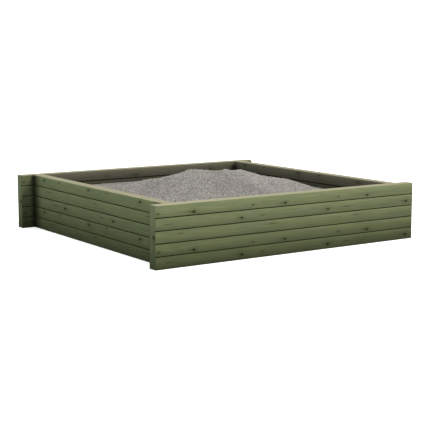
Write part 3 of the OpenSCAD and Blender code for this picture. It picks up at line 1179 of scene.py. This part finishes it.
def scatter_tree():
    """Geometry nodes that strew angular grains over the upper side of a surface."""
    nodes, given, out = new_group(
        "strewn_grains",
        "GeometryNodeTree",
        {
            "Surface": "geometry",
            "Density": "float",
            "Size": "float",
            "Seed": "int",
            "Material": "material",
        },
        {"Grains": "geometry"},
    )
    # Where each kind of random value has its least, its most and its output
    sockets = {"FLOAT_VECTOR": (0, 1, 0), "FLOAT": (2, 3, 1), "INT": (4, 5, 2)}

    def chance(kind, low, high, seed):
        least, most, output = sockets[kind]
        inputs = {least: low, most: high, 8: seed}
        return nodes.add("FunctionNodeRandomValue", inputs, data_type=kind).outputs[output]

    normal = nodes.add("GeometryNodeInputNormal").outputs[0]
    upward = nodes.math("GREATER_THAN", nodes.split(normal)[2], 0.5)
    points = nodes.add(
        "GeometryNodeDistributePointsOnFaces",
        {
            "Mesh": given["Surface"],
            "Selection": upward,
            "Density": given["Density"],
            "Seed": given["Seed"],
        },
        distribute_method="RANDOM",
    ).outputs["Points"]
    # Each shape is a ball with its points knocked about by a share of its radius
    kinds, knock = 5, 0.3
    shapes = nodes.add("GeometryNodeGeometryToInstance")
    for kind in range(kinds):
        ball = nodes.add("GeometryNodeMeshIcoSphere", {"Radius": 1.0, "Subdivisions": 1})
        offset = chance("FLOAT_VECTOR", (-knock,) * 3, (knock,) * 3, 11 + kind)
        broken = nodes.add(
            "GeometryNodeSetPosition", {"Geometry": ball.outputs[0], "Offset": offset}
        )
        nodes.feed(shapes.inputs[0], broken.outputs[0])
    pick = chance("INT", 0, kinds - 1, 21)
    turn = chance("FLOAT_VECTOR", (0.0,) * 3, (math.tau,) * 3, 22)
    stretch = chance("FLOAT_VECTOR", (0.6, 0.6, 0.45), (1.2, 1.2, 0.9), 23)
    size = nodes.math("POWER", chance("FLOAT", 0.0, 1.0, 24), 2.0)
    size = nodes.times(nodes.line(size, 0.9, 0.6), given["Size"])
    grains = nodes.add(
        "GeometryNodeInstanceOnPoints",
        {
            "Points": points,
            "Instance": shapes.outputs[0],
            "Pick Instance": True,
            "Instance Index": pick,
            "Rotation": turn,
            "Scale": nodes.scaled(stretch, size),
        },
    ).outputs[0]
    toned = nodes.add(
        "GeometryNodeStoreNamedAttribute",
        {"Geometry": grains, "Name": "tone", "Value": chance("FLOAT", 0.0, 1.0, 25)},
        data_type="FLOAT",
        domain="INSTANCE",
    ).outputs[0]
    solid = nodes.add("GeometryNodeRealizeInstances", {"Geometry": toned}).outputs[0]
    dressed = nodes.add(
        "GeometryNodeSetMaterial", {"Geometry": solid, "Material": given["Material"]}
    ).outputs[0]
    nodes.feed(out["Grains"], dressed)
    return nodes.tree


def build_grains(settings, surface, material):
    """Loose grains over the sand, as one plain mesh."""
    piece = add_object("sand_grains", surface.data.copy())
    modifier = piece.modifiers.new("strewn", "NODES")
    tree = modifier.node_group = scatter_tree()
    inputs = {
        "Density": float(settings.grains),
        "Size": settings.grain_size,
        "Seed": 3,
        "Material": material,
    }
    for socket in tree.interface.items_tree:
        if socket.in_out == "INPUT" and socket.name in inputs:
            modifier[socket.identifier] = inputs[socket.name]
    made = evaluated_mesh(piece)
    piece.modifiers.remove(modifier)
    made.shade_flat()
    piece.data = made
    finish_piece(piece, material, "sand")


# ------------------------------------------------------------ ground sheet


def build_sheet(material):
    """The ground sheet, laid flat, with the weave's slight unevenness."""
    low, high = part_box("ground_sheet")
    row = 61
    xs, ys = np.linspace(low.x, high.x, row), np.linspace(low.y, high.y, row)
    # The sheet takes most of its CAD thickness, and its unevenness stays within the rest
    thick, wave = 0.7 * (high.z - low.z), 0.15 * MM
    count = row**2
    points = []
    for layer in (0, 1):
        for y in ys:
            for x in xs:
                lift = wave * (1 + noise.noise(Vector((x * 25, y * 25, 0))))
                points.append((x, y, low.z + lift + layer * thick))
    faces = []
    for face in grid_faces(row, row):
        faces += [face, tuple(p + count for p in reversed(face))]
    rim = grid_rim(row, row)
    faces += [(a, b, b + count, a + count) for a, b in zip(rim, rim[1:] + rim[:1])]
    mesh = closed_mesh("ground_sheet", points, faces)
    shade_by_angle(mesh)
    piece = add_object("ground_sheet_woven", mesh)
    finish_piece(piece, material, "woven_sheet", "ground_sheet")


# -------------------------------------------------------------- operators


class SANDBOX_OT_walls(bpy.types.Operator):
    """Builds the twenty timbers of the four walls"""

    bl_idname = "sandbox.walls"
    bl_label = "Walls"

    def execute(self, context):
        settings = context.scene.sandbox_timber
        groups = shared_groups()
        material = treated_wood("treated_timber", settings.green, settings.darkening, settings, groups)
        chance = random.Random(4)
        for name in WALLS:
            wall = Wall(name)
            for course in COURSES:
                build_timber(wall, course, settings, material, chance)
        return {"FINISHED"}


class SANDBOX_OT_battens(bpy.types.Operator):
    """Builds the four upright end battens"""

    bl_idname = "sandbox.battens"
    bl_label = "End battens"

    def execute(self, context):
        settings = context.scene.sandbox_timber
        green, darkening = settings.batten_green, settings.batten_darkening
        material = treated_wood("treated_batten", green, darkening, settings, shared_groups())
        for number, corner in enumerate(CORNERS):
            build_batten(corner, material, 40.0 + number)
        return {"FINISHED"}


class SANDBOX_OT_fixings(bpy.types.Operator):
    """Finishes the dowels, pins, angles and screws inside the box"""

    bl_idname = "sandbox.fixings"
    bl_label = "Fixings"

    def execute(self, context):
        beech = plain_wood(shared_groups())
        zinc = zinc_plate()
        finishes = {f"{name}_dowels": beech for name in WALLS}
        finishes.update({f"{corner}_angle": zinc for corner in CORNERS})
        finishes.update({"end_batten_pins": zinc, "angle_screws": zinc})
        for name, material in finishes.items():
            dress(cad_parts[name], material)
        return {"FINISHED"}


class SANDBOX_OT_sheet(bpy.types.Operator):
    """Lays the woven ground sheet"""

    bl_idname = "sandbox.sheet"
    bl_label = "Ground sheet"

    def execute(self, context):
        build_sheet(woven_tape())
        return {"FINISHED"}


class SANDBOX_OT_sand(bpy.types.Operator):
    """Heaps the sand and strews loose grains over it"""

    bl_idname = "sandbox.sand"
    bl_label = "Sand"

    def execute(self, context):
        settings = context.scene.sandbox_sand
        groups = shared_groups()
        heap = build_sand(settings, sand_bed(settings, groups))
        build_grains(settings, heap, loose_grain(settings, groups))
        return {"FINISHED"}


class SANDBOX_OT_stage(bpy.types.Operator):
    """Sets the floor, the studio light and the camera"""

    bl_idname = "sandbox.stage"
    bl_label = "Stage"

    def execute(self, context):
        settings = context.scene.sandbox_stage
        build_floor()
        build_lights(settings)
        build_world(settings)
        build_camera(settings)
        context.scene.view_settings.view_transform = "Standard"
        return {"FINISHED"}


def shared_groups():
    """The shader groups that several materials use, built on first use."""
    makers = {
        "knots": ("sandbox_knots", knots_group),
        "grain": ("sandbox_grain", grain_group),
        "weather": ("sandbox_shade_and_weather", shade_and_weather_group),
        "grit": ("sandbox_grit", grit_group),
    }
    return {
        key: bpy.data.node_groups.get(name) or make() for key, (name, make) in makers.items()
    }


# ------------------------------------------------------------------ stage


def build_floor(half=30.0, glow=0.50):
    """A plain pale floor, with a glow of its own that keeps it white."""
    mesh = bpy.data.meshes.new("floor")
    corners = [(-half, -half, 0), (half, -half, 0), (half, half, 0), (-half, half, 0)]
    mesh.from_pydata(corners, [], [(0, 1, 2, 3)])
    floor = add_object("floor", mesh)
    material, nodes = new_material("pale_floor")
    faint = nodes.line(nodes.noise(nodes.place(), 3.0), 0.02, 0.9)
    constants = {"Roughness": 0.9, "Emission Color": WHITE, "Emission Strength": glow}
    finish_surface(nodes, constants, Base_Color=faint)
    mesh.materials.append(material)
    floor.visible_diffuse = False
    floor.visible_glossy = False
    floor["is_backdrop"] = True


def direction(azimuth, elevation):
    """Unit vector from the box towards an azimuth, from the front, and an elevation."""
    flat = math.cos(elevation)
    return Vector((math.sin(azimuth) * flat, -math.cos(azimuth) * flat, math.sin(elevation)))


def build_lights(settings):
    """A broad, even key light."""
    data = bpy.data.lights.new("key", "SUN")
    data.energy = settings.key
    data.color = settings.key_colour
    data.angle = settings.key_spread
    lamp = bpy.data.objects.new("key", data)
    bpy.context.scene.collection.objects.link(lamp)
    towards = direction(settings.key_azimuth, settings.key_elevation)
    lamp.location = towards * 4
    lamp.rotation_euler = (-towards).to_track_quat("-Z", "Y").to_euler()


def build_world(settings, backdrop=1.05):
    """Even light from above, none from below, and a white backdrop behind the floor."""
    world = bpy.data.worlds.new("studio")
    world.use_nodes = True
    world.node_tree.nodes.clear()
    nodes = Nodes(world.node_tree)
    way = nodes.add("ShaderNodeTexCoord").outputs["Generated"]
    above = nodes.step(nodes.split(way)[2], -0.1, 0.1)
    strength = nodes.times(above, settings.sky)
    straight = nodes.add("ShaderNodeLightPath").outputs["Is Camera Ray"]
    strength = nodes.add("ShaderNodeMix", {0: straight, 2: strength, 3: backdrop}).outputs[0]
    colour = nodes.mix(straight, tint(settings.sky_colour), WHITE)
    back = nodes.add("ShaderNodeBackground", {"Color": colour, "Strength": strength})
    nodes.add("ShaderNodeOutputWorld", {"Surface": back.outputs[0]})
    bpy.context.scene.world = world


def build_camera(settings):
    """The camera, turned round the box by its azimuth and elevation."""
    data = bpy.data.cameras.new("camera")
    data.lens = settings.lens
    data.sensor_width = 36.0
    camera = bpy.data.objects.new("camera", data)
    bpy.context.scene.collection.objects.link(camera)
    back = direction(settings.azimuth, settings.elevation)
    camera.location = Vector(settings.aim) + back * settings.distance
    camera.rotation_euler = (-back).to_track_quat("-Z", "Y").to_euler()
    bpy.context.scene.camera = camera


class SANDBOX_PT_panel(bpy.types.Panel):
    """Lists the sandbox's pieces and their settings"""

    bl_idname = "SANDBOX_PT_panel"
    bl_label = "Sandbox"
    bl_space_type = "VIEW_3D"
    bl_region_type = "UI"
    bl_category = "Sandbox"

    def draw(self, context):
        for operator in OPERATORS:
            self.layout.operator(operator.bl_idname)
        for group in SETTINGS:
            box = self.layout.box()
            for field in SETTINGS[group].__annotations__:
                box.prop(getattr(context.scene, group), field)


SETTINGS = {
    "sandbox_timber": TimberSettings,
    "sandbox_sand": SandSettings,
    "sandbox_stage": StageSettings,
}
OPERATORS = (
    SANDBOX_OT_walls,
    SANDBOX_OT_battens,
    SANDBOX_OT_fixings,
    SANDBOX_OT_sheet,
    SANDBOX_OT_sand,
    SANDBOX_OT_stage,
)


def register():
    for name, group in SETTINGS.items():
        bpy.utils.register_class(group)
        setattr(bpy.types.Scene, name, PointerProperty(type=group))
    for operator in OPERATORS:
        bpy.utils.register_class(operator)
    bpy.utils.register_class(SANDBOX_PT_panel)


def unregister():
    bpy.utils.unregister_class(SANDBOX_PT_panel)
    for operator in reversed(OPERATORS):
        bpy.utils.unregister_class(operator)
    for name, group in reversed(SETTINGS.items()):
        delattr(bpy.types.Scene, name)
        bpy.utils.unregister_class(group)


def main():
    """Builds every piece in order."""
    register()
    bpy.ops.sandbox.walls()
    bpy.ops.sandbox.battens()
    bpy.ops.sandbox.fixings()
    bpy.ops.sandbox.sheet()
    bpy.ops.sandbox.sand()
    bpy.ops.sandbox.stage()
    boxes = {
        "cad": [list(CAD_LOW), list(CAD_HIGH)],
        "visual": [list(corner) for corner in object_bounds()],
    }


if __name__ == "__main__":
    main()
